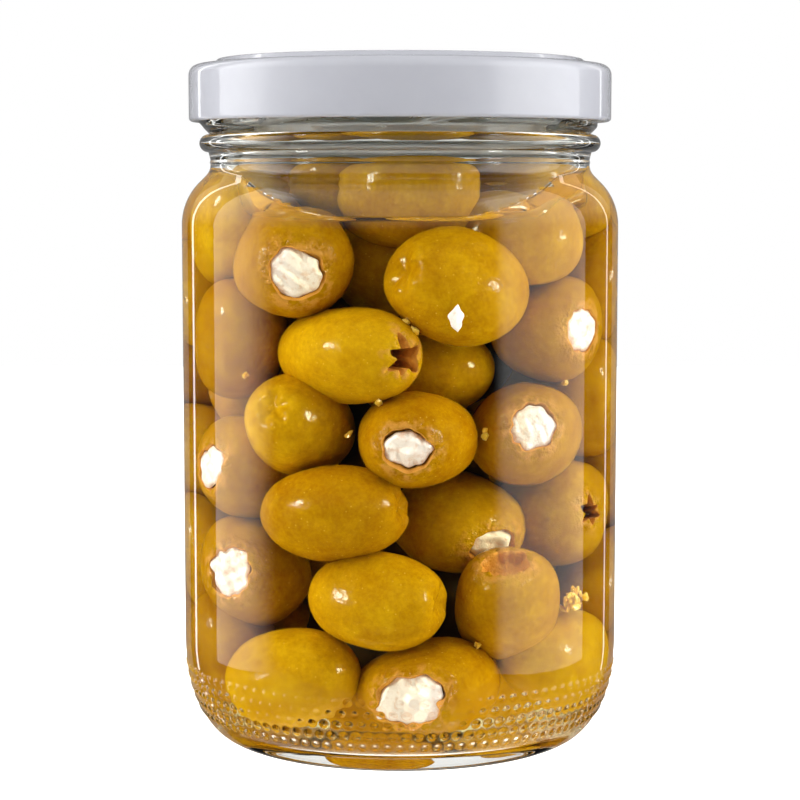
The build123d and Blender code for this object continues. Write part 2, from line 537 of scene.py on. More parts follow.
def brine_mesh():
    """The brine as one closed mesh, whose rim follows the climb."""
    wall_run = np.array(cavity_run(brine_reach, 0.5)[12:])
    rings = [p for p in cavity_run(brine_reach, 6.0) if p[1] < brine_level - 0.4]
    turn = np.arange(ring_count) * 2 * np.pi / ring_count
    top = brine_level + climb(turn)
    coords = [np.array([[0, 0, rings[0][1]]])]

    def ring(radius, height):
        coords.append(np.stack([radius * np.cos(turn), radius * np.sin(turn), height], 1))

    for radius, height in rings[1:]:
        ring(np.full(ring_count, radius), np.full(ring_count, height))
    start = rings[-1][1]
    for i in range(1, rim_rings + 1):
        height = start + (top - start) * i / rim_rings
        ring(np.interp(height, wall_run[:, 1], wall_run[:, 0]), height)
    for away in (0.1, 0.25, 0.45, 0.7, 1.0, 1.4, 1.9, 2.5, 3.2, 4.2, 6.0, 9.0, 14.0, 22.0, 30.0):
        drop = np.exp(-away / climb_width)
        edge = np.interp(top, wall_run[:, 1], wall_run[:, 0])
        fall = brine_level + (top - brine_level) * drop
        ring(np.minimum(edge - away * 0.75, 40.5 - away), fall)
    many = len(coords) - 1
    faces = [(0, 1 + (j + 1) % ring_count, 1 + j) for j in range(ring_count)]
    for i in range(many - 1):
        low, high = 1 + i * ring_count, 1 + (i + 1) * ring_count
        for j in range(ring_count):
            k = (j + 1) % ring_count
            faces.append((low + j, low + k, high + k, high + j))
    last = 1 + (many - 1) * ring_count
    middle = 1 + many * ring_count
    coords.append(np.array([[0, 0, brine_level]]))
    faces += [(last + j, last + (j + 1) % ring_count, middle) for j in range(ring_count)]
    piece = mesh_piece("brine_liquid", np.concatenate(coords), faces)
    against_glass = ring_count * (len(rings) - 1 + rim_rings)
    bends = [brine_index / glass_index] * against_glass + [brine_index] * (len(faces) - against_glass)
    piece.data.attributes.new("bends", "FLOAT", "FACE").data.foreach_set("value", bends)
    return piece


def golden_brine():
    """Brine gone golden from the olives: nearly clear in a thin layer, yellow
    and then brown the further the eye looks through it.  Where it lies against
    the glass it bends light only by the little that it differs from glass."""
    material = clear_material(
        "golden_brine", "FFFEFB", "FFFEFB", brine_index, brine_depth_tint, brine_depth_density
    )
    tree = material.node_tree
    bends = add_node(tree, "ShaderNodeAttribute", attribute_name="bends")
    body = next(node for node in tree.nodes if node.type == "BSDF_PRINCIPLED")
    tree.links.new(bends.outputs["Fac"], body.inputs["IOR"])
    return material


brine = brine_mesh()
brine.data.materials.append(golden_brine())
glass.data.materials.append(wetted_glass())
for face in glass.data.polygons:
    x, y, z = face.center / MM
    away = math.hypot(x, y)
    inside = away < cavity_radius_at(z) + 0.6 and z > floor_thickness - 0.3
    if inside and z < brine_level + climb(math.atan2(y, x)):
        face.material_index = 1
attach(brine, "root")
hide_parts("brine")

# Olives: large green olives, pitted.  Some are stuffed with soft white cheese
# that shows at the cut end, some have the star cut of the pitting needle, and
# some turn their stem end to the glass.  They lie loose, packed to the wall.

olive_gap = 0.5
random = np.random.default_rng(7)

# where it lies round the wall (degrees), how high (mm), how far behind the wall
# (mm), length and girth (mm), how much wider than its girth, the way its end
# points (degrees round, degrees up), what that end is, and the radius of its hole
shown_olives = [
    (4, 110.4, 5.5, 27.0, 20.0, 1.0, 78, 5, "plain", 0.0),
    (-39.5, 97.2, 0.0, 25.0, 20.6, 1.08, 0, -9, "cheese", 5.0),
    (19.5, 92.4, 0.0, 26.5, 22.0, 1.0, -57, 17, "stem", 0.0),
    (47, 102.0, 2.0, 25.5, 19.0, 1.0, 86, -4, "plain", 0.0),
    (62, 83.7, 0.0, 25.0, 20.2, 1.0, 46, 1, "cheese", 4.3),
    (-68, 103.0, 1.0, 24.0, 19.5, 1.0, -8, 53, "plain", 0.0),
    (-64, 82.2, 0.0, 24.5, 19.8, 1.0, -9, 60, "plain", 0.0),
    (-17, 80.1, 0.0, 29.5, 19.4, 1.0, 44, 1, "star", 2.6),
    (-8, 95.5, 6.5, 24.0, 19.0, 1.0, -20, 40, "plain", 0.0),
    (-38, 66.2, 0.0, 25.0, 19.2, 1.0, -30, 21, "stem", 0.0),
    (5, 64.1, 0.0, 25.0, 18.6, 1.12, -5, -8, "cheese", 4.0),
    (17, 76.0, 5.5, 24.5, 19.0, 1.0, 60, 5, "plain", 0.0),
    (48.5, 64.2, 0.0, 25.5, 20.6, 1.0, 12, 11, "cheese", 4.8),
    (-64, 56.8, 0.0, 25.0, 20.4, 1.0, -57, 1, "cheese", 4.5),
    (-21, 49.9, 0.0, 27.5, 18.6, 1.0, 72, 7, "stem", 0.0),
    (34, 46.2, 0.0, 26.0, 18.8, 1.16, 37, -22, "cheese", 3.9),
    (77, 46.8, 0.0, 25.0, 21.0, 1.0, 48, 4, "star", 2.3),
    (86, 69.6, 0.0, 25.0, 20.0, 1.0, 24, 63, "plain", 0.0),
    (-62, 36.2, 0.0, 25.5, 21.4, 1.0, -33, 5, "cheese", 5.3),
    (-7, 33.0, 0.0, 26.0, 19.0, 1.0, 68, 1, "stem", 0.0),
    (38, 31.4, 0.0, 25.5, 18.6, 1.12, 3, 50, "torn", 3.1),
    (62, 19.4, 0.0, 27.0, 19.2, 1.0, -46, 14, "plain", 0.0),
    (-38, 17.0, 0.0, 27.0, 18.4, 1.0, 64, 13, "plain", 0.0),
    (10.5, 16.2, 0.0, 27.0, 17.6, 1.34, -18, -6, "cheese", 5.2),
    (-15, 12.6, 8.0, 25.0, 16.5, 1.0, 60, 4, "plain", 0.0),
    (-71, 21.0, 0.0, 24.5, 19.5, 1.0, -23, 48, "plain", 0.0),
    (-88, 70.0, 0.0, 25.0, 19.5, 1.0, -60, 35, "plain", 0.0),
    (-90, 37.6, 0.0, 25.5, 19.5, 1.0, -100, 60, "plain", 0.0),
    (90, 92.0, 0.0, 25.0, 19.5, 1.0, 140, 70, "plain", 0.0),
]
hidden_layers = 6
hidden_pitch = 17.6
heap_top = 119.0
hidden_step = 28.0


def bearing_vector(bearing, rise=0.0):
    """The direction at a bearing from the front, positive to the right."""
    turn, up = math.radians(bearing), math.radians(rise)
    return np.array([math.cos(up) * math.sin(turn), -math.cos(up) * math.cos(turn), math.sin(up)])


def across_axis(axis, roll):
    """Two directions across an olive's axis: sideways and upwards, rolled."""
    side = np.cross(axis, [0.0, 0.0, 1.0])
    if np.linalg.norm(side) < 0.2:
        side = np.cross(axis, [0.0, 1.0, 0.0])
    side /= np.linalg.norm(side)
    up = np.cross(side, axis)
    return (side * math.cos(roll) + up * math.sin(roll), up * math.cos(roll) - side * math.sin(roll))


def new_olive(bearing, height, back, length, girth, wide, heading, rise, end, hole, shown):
    """An olive lying against the wall at a bearing and height."""
    axis = bearing_vector(heading, rise)
    side, up = across_axis(axis, 0.0)
    outward = bearing_vector(bearing)
    spans = (axis, length / 2), (side, girth * wide / 2), (up, girth / 2)
    reach = math.sqrt(sum((float(way @ outward) * half) ** 2 for way, half in spans))
    room = min(cavity_radius_at(height), cavity_radius_at(height + 8.0) + 3.0)
    middle = outward * (room - olive_gap - back - reach) + np.array([0, 0, height])
    return dict(
        middle=middle, axis=axis, length=length, girth=girth, wide=wide, end=end, hole=hole,
        shown=shown,
    )


side_olives = [
    (91, 27.0, 0.0, 25.5, 19.6, 1.0, 150, 62, "plain", 0.0),
    (98, 48.5, 0.0, 25.0, 19.4, 1.0, 60, 20, "stem", 0.0),
    (101, 74.0, 0.0, 25.0, 19.4, 1.0, 190, 55, "cheese", 4.6),
    (-91, 14.5, 0.0, 25.0, 18.4, 1.0, -160, 12, "plain", 0.0),
    (-96, 98.0, 0.0, 25.0, 19.0, 1.0, -150, 50, "plain", 0.0),
]
olives = [new_olive(*row, True) for row in shown_olives]
olives += [new_olive(*row, False) for row in side_olives]
for layer in range(hidden_layers):
    for i in range(6):
        bearing = 112 + i * hidden_step + (layer % 2) * 13 + random.uniform(-4, 4)
        olives.append(
            new_olive(
                bearing,
                16.5 + layer * hidden_pitch + random.uniform(-3, 3),
                0.0,
                random.uniform(24.5, 27.5),
                random.uniform(18.6, 20.8),
                random.uniform(1.0, 1.08),
                bearing + random.uniform(-80, 80),
                random.uniform(-60, 60),
                ["cheese", "plain", "cheese", "stem", "plain"][random.integers(5)],
                random.uniform(4.2, 5.2),
                False,
            )
        )


def settle(olives, rounds):
    """Pushes olives apart and off the glass.  The shown ones only move inwards."""
    middle = np.array([o["middle"] for o in olives])
    axis = np.array([o["axis"] for o in olives])
    length = np.array([o["length"] for o in olives])
    girth = np.array([o["girth"] * (0.5 + 0.5 * o["wide"]) for o in olives])
    shown = np.array([o["shown"] for o in olives])
    many = len(olives)
    shares = np.array([-1.0, 0.0, 1.0])
    radius = np.repeat(girth / 2 * 0.97, 3)
    owner = np.repeat(np.arange(many), 3)
    other = owner[:, None] != owner[None, :]
    for _ in range(rounds):
        half_arm = (length - girth) / 2 * 0.92
        arms = axis[:, None, :] * (shares[None, :, None] * half_arm[:, None, None])
        balls = (middle[:, None, :] + arms).reshape(-1, 3)
        apart = balls[:, None, :] - balls[None, :, :]
        distance = np.linalg.norm(apart, axis=2) + 1e-9
        deep = np.clip(np.where(other, radius[:, None] + radius[None, :] - distance, 0.0), 0, None)
        push = (apart / distance[..., None] * deep[..., None] * 0.25).sum(1)
        room = cavity_radius_at(balls[:, 2] + radius * 0.5) - olive_gap - radius
        out = np.linalg.norm(balls[:, :2], axis=1) + 1e-9
        push[:, :2] -= balls[:, :2] / out[:, None] * np.clip(out - room, 0, None)[:, None] * 0.6
        push[:, 2] += np.clip(floor_thickness + 1.5 + radius - balls[:, 2], 0, None) * 0.6
        push[:, 2] -= np.clip(balls[:, 2] + radius - heap_top, 0, None) * 0.6
        push = push.reshape(many, 3, 3)
        shift = push.mean(1)
        turning = np.cross(arms, push).sum(1) / (length[:, None] ** 2 * 0.3)
        inward = -middle * np.array([1, 1, 0])
        inward /= np.linalg.norm(inward, axis=1)[:, None] + 1e-9
        only_in = inward * np.clip((shift * inward).sum(1), 0, 0.2)[:, None] * 0.5
        middle += np.where(shown[:, None], only_in, shift)
        axis += np.where(shown[:, None], 0.0, np.cross(turning, axis))
        axis /= np.linalg.norm(axis, axis=1)[:, None]
    for i, olive in enumerate(olives):
        olive["middle"], olive["axis"] = middle[i], axis[i]


settle(olives, 160)


def lumps(seed, count, low=1.5, high=4.5):
    """A smooth uneven function of direction: the mean of a few soft waves."""
    local = np.random.default_rng(seed)
    ways = local.normal(size=(count, 3))
    ways /= np.linalg.norm(ways, axis=1)[:, None]
    turns = local.uniform(0, 2 * np.pi, count)
    rates = local.uniform(low, high, count)

    def value(direction):
        return np.sin(direction @ ways.T * rates + turns).mean(axis=-1)

    return value


def opening(end, hole, turn, seed):
    """Outline of the hole at an olive's end: its radius at each turn, in mm."""
    local = np.random.default_rng(seed)
    circle = np.stack([np.cos(turn), np.sin(turn), np.zeros_like(turn)], 1)
    wave, ragged = lumps(seed + 1, 6), lumps(seed + 2, 8, 5.0, 16.0)
    if end == "cheese":
        return hole * (1 + 0.2 * wave(circle) + 0.16 * ragged(circle))
    if end == "torn":
        return hole * (1 + 0.28 * np.cos(turn) ** 2 + 0.2 * wave(circle) + 0.3 * ragged(circle))
    petal = (turn * 6 / (2 * np.pi) + local.uniform(0, 1) + 0.3 * wave(circle)) % 1.0
    point = 1 - np.abs(2 * petal - 1)
    return hole * (0.75 + 0.85 * point**1.4 + 0.5 * wave(circle * 2) + 0.2 * ragged(circle))


# how deep the hole is at each kind of cut end (mm), and how much of the way to
# its middle the wall of the hole has come in at each ring down
hole_depths = {"cheese": 2.6, "star": 5.5, "torn": 2.4}
hole_narrows = (0.05, 0.09, 0.12, 0.16, 0.2, 0.28, 0.5, 0.78, 1.0)


def olive_rings(olive, seed, rings, around):
    """Rings of points of one olive, from its far tip to the bottom of the hole
    at its end, along X.  Also how much each is cut flesh, how deep in the hole
    it lies, which the skin colours as painted shade, and how near the hole."""
    local = np.random.default_rng(seed)
    half, wide, end = olive["length"] / 2, olive["girth"] / 2, olive["end"]
    turn = np.arange(around) * 2 * np.pi / around
    across = np.stack([np.cos(turn), np.sin(turn)], 1)
    uneven, ripple = lumps(seed + 10, 9), lumps(seed + 11, 9, 4.0, 9.0)
    taper, nip = local.uniform(-0.05, 0.05), local.uniform(0.0, 0.5)
    hole_rings = len(hole_narrows) if end in hole_depths else 0
    hole = opening(end, olive["hole"], turn, seed + 20) if hole_rings else np.zeros(around)
    tip = np.arcsin(np.clip(hole / wide, 0, 0.85))
    last = rings - hole_rings - 1
    points, cut, deep, near = [], [], [], []
    for i in range(last + 1):
        angle = np.pi - (np.pi - tip) * (0.5 - 0.5 * math.cos(math.pi * i / last))
        way = np.stack([np.cos(angle), np.sin(angle) * across[:, 0], np.sin(angle) * across[:, 1]], 1)
        swell = 1 + 0.16 * uneven(way) + 0.03 * ripple(way)
        rho = wide * np.sin(angle) ** 0.95 * swell * (1 + taper * np.cos(angle))
        x = half * np.cos(angle) * (1 + 0.07 * uneven(way))
        x = x - nip * np.exp(-(((angle - np.pi) / 0.2) ** 2))
        if end == "stem":
            folds = 0.5 + 0.5 * np.cos(5 * turn + 3 * uneven(way))
            x = x - 2.0 * np.exp(-((angle / 0.24) ** 2))
            x = x - 0.55 * folds * np.exp(-(((angle - 0.3) / 0.17) ** 2))
        to_hole = np.clip(1 - (angle - tip) / 0.36, 0, 1) if hole_rings else np.zeros(around)
        if hole_rings:
            x = x - 0.35 * np.clip(1 - (angle - tip) / 0.16, 0, 1) ** 2
        elif i == last:
            x = np.full(around, x.mean())
        points.append(np.stack([x, rho * across[:, 0] * olive["wide"], rho * across[:, 1]], 1))
        cut.append(np.full(around, float(i == last and hole_rings > 0)))
        deep.append(np.zeros(around))
        near.append(to_hole)
    if hole_rings:
        rim = points[-1]
        centre = rim[:, 1:].mean(0)
        drop = hole_depths[end]
        for k in range(1, hole_rings + 1):
            share = k / hole_rings
            spot = np.stack([across[:, 0], across[:, 1], np.full(around, k * 0.9)], 1)
            rough = 0.25 * ripple(spot * 1.5)
            inward = np.clip(hole_narrows[k - 1] + rough[:, None] * (k < 7) * 0.3, 0, 1)
            yz = rim[:, 1:] + (centre - rim[:, 1:]) * inward
            fall = drop * min(1.0, share * 1.5)
            x = rim[:, 0] - fall + rough * (1.5 if end == "torn" else 0.8)
            if k == hole_rings:
                x = np.full(around, x.mean())
            points.append(np.concatenate([x[:, None], yz], 1))
            cut.append(np.ones(around))
            # how deep in the hole, which the skin turns into painted shade; a torn end gets only 0.35 of it
            deep.append(np.full(around, min(1.0, share * 1.3) * (0.35 if end == "torn" else 1.0)))
            near.append(np.ones(around))
    return np.array(points), np.array(cut), np.array(deep), np.array(near)


def ring_faces(rings, around, base):
    """Faces between rings of points."""
    faces = []
    for i in range(rings - 1):
        low, high = base + i * around, base + (i + 1) * around
        for j in range(around):
            k = (j + 1) % around
            faces.append((low + j, high + j, high + k, low + k))
    return faces


def closed_up(piece, material):
    """Joins the points at poles, turns faces outwards and gives the material."""
    work = bmesh.new()
    work.from_mesh(piece.data)
    bmesh.ops.remove_doubles(work, verts=work.verts, dist=1e-6)
    bmesh.ops.dissolve_degenerate(work, dist=1e-7, edges=work.edges)
    bmesh.ops.recalc_face_normals(work, faces=work.faces)
    work.to_mesh(piece.data)
    work.free()
    piece.data.polygons.foreach_set("use_smooth", [True] * len(piece.data.polygons))
    piece.data.materials.append(material)
    return piece


def green_olive_skin():
    """Skin of a brined green olive: waxy golden-green, smooth, mottled, with
    fine pale specks, tan where it is bruised round the hole, and orange-brown
    flesh where it is cut, darkening to near black deeper down the hole as
    painted shade.  It lies in brine, whose IOR is near its own, so only strong
    lights gleam on it, and its IOR is that of skin against brine."""
    material, tree = new_material("olive_skin")
    place = add_node(tree, "ShaderNodeTexCoord").outputs["Object"]
    mark = {}
    for name in ("tone", "cut", "deep", "near"):
        mark[name] = add_node(tree, "ShaderNodeAttribute", attribute_name=name).outputs["Fac"]
    noise = {}
    for name, scale, detail, rough in (
        ("mottle", 190.0, 5.0, 0.65),
        ("freckle", 1100.0, 3.0, 0.7),
        ("bruise", 420.0, 3.0, 0.6),
        ("waves", 330.0, 3.0, 0.55),
        ("pits", 1500.0, 2.0, 0.5),
    ):
        noise[name] = add_node(
            tree, "ShaderNodeTexNoise", [("Vector", place)], Scale=scale, Detail=detail, Roughness=rough
        ).outputs["Fac"]
    links = [("A", noise["mottle"]), ("B", noise["freckle"])]
    blend = add_node(tree, "ShaderNodeMix", links, Factor=0.38, data_type="FLOAT").outputs[0]
    shade = add_node(tree, "ShaderNodeMath", [(0, blend), (1, mark["tone"])], operation="ADD")
    ramp = add_node(tree, "ShaderNodeValToRGB", [("Fac", shade.outputs[0])])
    stops = ramp.color_ramp.elements
    stops[0].position, stops[0].color = 0.31, linear("9E6802")
    stops[1].position, stops[1].color = 0.75, linear("D2A30C")
    stops.new(0.52).color = linear("B78404")
    patchy = add_node(
        tree, "ShaderNodeMapRange", [("Value", noise["bruise"])], From_Min=0.42, From_Max=0.62
    ).outputs[0]
    bruised = add_node(tree, "ShaderNodeMath", [(0, mark["near"]), (1, patchy)], operation="MULTIPLY")
    bruised = add_node(
        tree, "ShaderNodeMapRange", [("Value", bruised.outputs[0])], From_Min=0.12, From_Max=0.7, To_Max=0.7
    ).outputs[0]
    specks = add_node(tree, "ShaderNodeTexVoronoi", [("Vector", place)], Scale=640.0)
    speck = add_node(
        tree, "ShaderNodeMapRange", [("Value", specks.outputs["Distance"])],
        From_Min=0.05, From_Max=0.13, To_Min=0.5, To_Max=0.0,
    ).outputs[0]
    # painted shade: the cut flesh goes from orange-brown to near black the deeper it lies in the hole
    depth = add_node(tree, "ShaderNodeMapRange", [("Value", mark["deep"])], From_Min=0.3).outputs[0]
    flesh = add_node(
        tree, "ShaderNodeMix", [("Factor", depth)], data_type="RGBA",
        _6=linear("DB9A44"), _7=linear("54280A"),
    ).outputs[2]
    colour = ramp.outputs["Color"]
    for factor, over in ((bruised, "D89A48"), (speck, "E9C04A")):
        links = [("Factor", factor), (6, colour)]
        colour = add_node(tree, "ShaderNodeMix", links, data_type="RGBA", _7=linear(over)).outputs[2]
    links = [("Factor", mark["cut"]), (6, colour), (7, flesh)]
    colour = add_node(tree, "ShaderNodeMix", links, data_type="RGBA").outputs[2]
    soft = add_node(tree, "ShaderNodeBump", [("Height", noise["waves"])], Strength=0.5, Distance=0.0004)
    rough = add_node(tree, "ShaderNodeMapRange", [("Value", mark["near"])], From_Max=0.7).outputs[0]
    links = [("Height", noise["bruise"]), ("Strength", rough), ("Normal", soft.outputs[0])]
    torn = add_node(tree, "ShaderNodeBump", links, Distance=0.0012)
    links = [("Height", noise["pits"]), ("Normal", torn.outputs[0])]
    fine = add_node(tree, "ShaderNodeBump", links, Strength=0.12, Distance=0.0002)
    links = [("Base Color", colour), ("Normal", fine.outputs[0])]
    skin = add_node(tree, "ShaderNodeBsdfPrincipled", links, Roughness=0.08, IOR=1.12)
    add_node(tree, "ShaderNodeOutputMaterial", [("Surface", skin.outputs[0])])
    return material


olive_kinds = {"cheese": "stuffed_olives", "star": "pitted_olives", "torn": "pitted_olives"}
cuts = {}
for number, olive in enumerate(olives):
    olive["seed"] = 100 + 37 * number
    olive["rings"], olive["around"] = (54, 60) if olive["shown"] else (34, 36)
    local, cut, deep, near = olive_rings(olive, olive["seed"], olive["rings"], olive["around"])
    roll = 0.0 if olive["wide"] > 1.05 else random.uniform(0, 2 * math.pi)
    side, up = across_axis(olive["axis"], roll)
    olive["basis"] = np.stack([olive["axis"], side, up])
    olive["local"] = local
    kind = cuts.setdefault(
        olive_kinds.get(olive["end"], "whole_olives"),
        dict(coords=[], faces=[], cut=[], deep=[], near=[], tone=[], total=0),
    )
    kind["coords"].append(local.reshape(-1, 3) @ olive["basis"] + olive["middle"])
    kind["faces"] += ring_faces(olive["rings"], olive["around"], kind["total"])
    kind["total"] += olive["rings"] * olive["around"]
    kind["cut"].append(cut.reshape(-1))
    kind["deep"].append(deep.reshape(-1))
    kind["near"].append(near.reshape(-1))
    kind["tone"].append(np.full(cut.size, random.uniform(-0.1, 0.12)))

skin_look = green_olive_skin()
for name, kind in cuts.items():
    piece = mesh_piece(name, np.concatenate(kind["coords"]), kind["faces"])
    for label in ("cut", "deep", "near", "tone"):
        layer = piece.data.attributes.new(label, "FLOAT", "POINT")
        layer.data.foreach_set("value", np.concatenate(kind[label]))
    closed_up(piece, skin_look)
    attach(piece, "root")
    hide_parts("olives")

# Cheese: soft white brined cheese pressed into the pitted olives.  It fills the
# hole nearly to its edge and stands a little proud, with a crumbly face.

cheese_rings = 14
cheese_shrink = 0.94


def white_cheese():
    """Soft brined white cheese: matt, crumbly, warm white with creamier spots."""
    material, tree = new_material("white_cheese")
    place = add_node(tree, "ShaderNodeTexCoord").outputs["Object"]
    grain = add_node(
        tree, "ShaderNodeTexNoise", [("Vector", place)], Scale=800.0, Detail=4.0, Roughness=0.65
    ).outputs["Fac"]
    ramp = add_node(tree, "ShaderNodeValToRGB", [("Fac", grain)])
    stops = ramp.color_ramp.elements
    stops[0].position, stops[0].color = 0.32, linear("E6C6B6")
    stops[1].position, stops[1].color = 0.5, linear("F6E9E6")
    relief = add_node(tree, "ShaderNodeBump", [("Height", grain)], Strength=0.6, Distance=0.0006)
    body = add_node(
        tree,
        "ShaderNodeBsdfPrincipled",
        [("Base Color", ramp.outputs["Color"]), ("Normal", relief.outputs[0])],
        Roughness=0.5,
        IOR=1.3,
    )
    add_node(tree, "ShaderNodeOutputMaterial", [("Surface", body.outputs[0])])
    return material


coords, faces, total = [], [], 0
for olive in olives:
    if olive["end"] != "cheese":
        continue
    rim = olive["local"][olive["rings"] - len(hole_narrows) - 1]
    centre = rim.mean(0)
    around = olive["around"]
    wave, grain = lumps(olive["seed"] + 30, 8, 0.3, 0.8), lumps(olive["seed"] + 31, 9, 1.2, 3.5)
    turn = np.arange(around) * 2 * np.pi / around
    circle = np.stack([np.cos(turn), np.sin(turn), np.zeros(around)], 1)
    edge = cheese_shrink - 0.12 * np.clip(lumps(olive["seed"] + 32, 4)(circle) * 2, 0, 1)
    crown = random.uniform(0.1, 0.7)
    spread = (rim[:, 1:] - centre[1:]) * edge[:, None]
    for k in range(cheese_rings + 3):
        share = min(1.0, k / cheese_rings)
        flat = spread * share * (1 if k <= cheese_rings else 0.92)
        spot = np.stack([flat[:, 0], flat[:, 1], np.zeros(around)], 1)
        x = centre[0] - 0.35 + crown * (1 - share**2) + 1.1 * wave(spot) + 0.8 * grain(spot)
        x = x - 0.5 * max(0.0, share - 0.85) / 0.15
        if k > cheese_rings:
            x = np.full(around, centre[0] - 1.2 * (k - cheese_rings) - 0.4)
            flat = flat * (1.0 if k == cheese_rings + 1 else 0.0)
        ring = np.stack([x, centre[1] + flat[:, 0], centre[2] + flat[:, 1]], 1)
        if k == 0:
            ring[:] = ring.mean(0)
        coords.append(ring @ olive["basis"] + olive["middle"])
    faces += ring_faces(cheese_rings + 3, around, total)
    total += (cheese_rings + 3) * around
cheese = mesh_piece("cheese_stuffing", np.concatenate(coords), faces)
cheese_look = white_cheese()
closed_up(cheese, cheese_look)
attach(cheese, "root")
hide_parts("olives")

# Chip: a thin leaf-shaped flake of the cheese, lodged against the olive that
# faces front right of the middle.

chip_bearing, chip_height = 14.5, 87.4
chip_length, chip_width, chip_thick = 5.2, 2.9, 0.7


def leaf_chip():
    """A flat flake, pointed at both ends, curved a little to one side."""
    steps, sides = 14, 16
    coords = []
    for i in range(steps + 1):
        along = -1 + 2 * i / steps
        half = chip_width / 2 * max(0.0, 1 - abs(along) ** 1.7) * (1 + 0.15 * math.sin(7 * along))
        for j in range(sides):
            turn = 2 * math.pi * j / sides
            coords.append(
                (
                    half * math.cos(turn) + 0.35 * along**2,
                    chip_thick / 2 * math.sin(turn) * min(1.0, half),
                    chip_length / 2 * along,
                )
            )
    return np.array(coords), ring_faces(steps + 1, sides, 0)


chip_local, chip_faces = leaf_chip()
outward = bearing_vector(chip_bearing)
sideways = np.array([-outward[1], outward[0], 0.0])
basis = np.stack([sideways, outward, [0.0, 0.0, 1.0]])
chip_place = outward * (cavity_radius - 1.3) + np.array([0, 0, chip_height])
chip = mesh_piece("cheese_chip", chip_local @ basis + chip_place, chip_faces)
closed_up(chip, cheese_look)
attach(chip, "root")
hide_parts("olives")

# Crumbs: bits of olive flesh that have come off and lodge where the
# olives touch, most of them on the olive low down at the right.

crumb_size = 0.75
crumbs_at_touch = 2
touching = 22.5  # mm between the middles of two olives that touch
heap_bearing, heap_height, heap_count = 57, 30.9, 40
heap_radius = 37.5


def olive_crumb():
    """Loose shreds of olive flesh: patchy yellow."""
    material, tree = new_material("olive_crumb")
    place = add_node(tree, "ShaderNodeTexCoord").outputs["Object"]
    noise = add_node(tree, "ShaderNodeTexNoise", [("Vector", place)], Scale=500.0).outputs["Fac"]
    patches = add_node(tree, "ShaderNodeMapRange", [("Value", noise)], From_Min=0.4, From_Max=0.6)
    colour = add_node(
        tree, "ShaderNodeMix", [("Factor", patches.outputs[0])], data_type="RGBA",
        _6=linear("E6AE14"), _7=linear("FAD95C"),
    ).outputs[2]
    body = add_node(tree, "ShaderNodeBsdfPrincipled", [("Base Color", colour)], Roughness=0.3, IOR=1.36)
    add_node(tree, "ShaderNodeOutputMaterial", [("Surface", body.outputs[0])])
    return material


def crumb_nodes(material):
    """Geometry Nodes that put an uneven crumb at every point they are given."""
    values = {"Crumb size": crumb_size * MM, "Unevenness": 0.4}
    tree, start, end, sizes = sized_tree("crumbs", values)
    ball = add_node(
        tree, "GeometryNodeMeshIcoSphere", [("Radius", start.outputs["Crumb size"])], Subdivisions=2
    )
    turn = add_node(tree, "FunctionNodeRandomValue", data_type="FLOAT_VECTOR", Seed=3)
    turn.inputs[1].default_value = (6.3, 6.3, 6.3)
    size = add_node(tree, "FunctionNodeRandomValue", data_type="FLOAT_VECTOR", Seed=5)
    size.inputs[0].default_value = (0.4, 0.4, 0.6)
    size.inputs[1].default_value = (1.0, 1.2, 1.9)
    placed = add_node(
        tree, "GeometryNodeInstanceOnPoints",
        [
            ("Points", start.outputs["Geometry"]),
            ("Instance", ball.outputs[0]),
            ("Rotation", turn.outputs[0]),
            ("Scale", size.outputs[0]),
        ],
    )
    real = add_node(tree, "GeometryNodeRealizeInstances", [("Geometry", placed.outputs[0])])
    noise = add_node(tree, "ShaderNodeTexNoise", Scale=1400.0, Detail=1.0)
    centred = add_node(tree, "ShaderNodeVectorMath", [(0, noise.outputs["Color"])], operation="SUBTRACT")
    centred.inputs[1].default_value = (0.5, 0.5, 0.5)
    amount = add_node(
        tree, "ShaderNodeMath",
        [(0, start.outputs["Unevenness"]), (1, start.outputs["Crumb size"])],
        operation="MULTIPLY",
    )
    amount = add_node(tree, "ShaderNodeMath", [(0, amount.outputs[0])], operation="MULTIPLY", _1=4.0)
    offset = add_node(
        tree, "ShaderNodeVectorMath",
        [("Vector", centred.outputs[0]), ("Scale", amount.outputs[0])],
        operation="SCALE",
    )
    moved = add_node(
        tree, "GeometryNodeSetPosition",
        [("Geometry", real.outputs[0]), ("Offset", offset.outputs[0])],
    )
    coated = add_node(
        tree, "GeometryNodeSetMaterial", [("Geometry", moved.outputs[0])], Material=material
    )
    tree.links.new(coated.outputs[0], end.inputs[0])
    return tree, sizes


crumb_places = []
shown = [o for o in olives if o["shown"]]
for i, first in enumerate(shown):
    for second in shown[i + 1 :]:
        gap = np.linalg.norm(first["middle"] - second["middle"])
        if gap < touching:
            touch = (first["middle"] + second["middle"]) / 2
            outward = touch * np.array([1, 1, 0]) / np.linalg.norm(touch[:2])
            for _ in range(random.integers(crumbs_at_touch + 1)):
                way = random.normal(size=3) * 0.9
                crumb_places.append(touch + outward * random.uniform(2.5, 5.5) + way)
for _ in range(heap_count):
    spread = random.normal(size=3) * np.array([1.3, 0.9, 0.9])
    heap = bearing_vector(heap_bearing) * heap_radius
    crumb_places.append(heap + spread + np.array([0, 0, heap_height]))
seeds = mesh_piece("crumb_seeds", crumb_places, [], smooth=False)
crumb_look = olive_crumb()
seeds.data.materials.append(crumb_look)
crumb_tree, crumb_sizes = crumb_nodes(crumb_look)
crumbs = settled(seeds, crumb_tree, crumb_sizes, "olive_crumbs")
crumbs.data.materials.clear()
crumbs.data.materials.append(crumb_look)
crumbs.data.polygons.foreach_set("material_index", [0] * len(crumbs.data.polygons))
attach(crumbs, "root")
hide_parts("olives")

# Core: the olives that lie out of sight in the middle, as one lumpy mass
# coloured near black as painted shade.

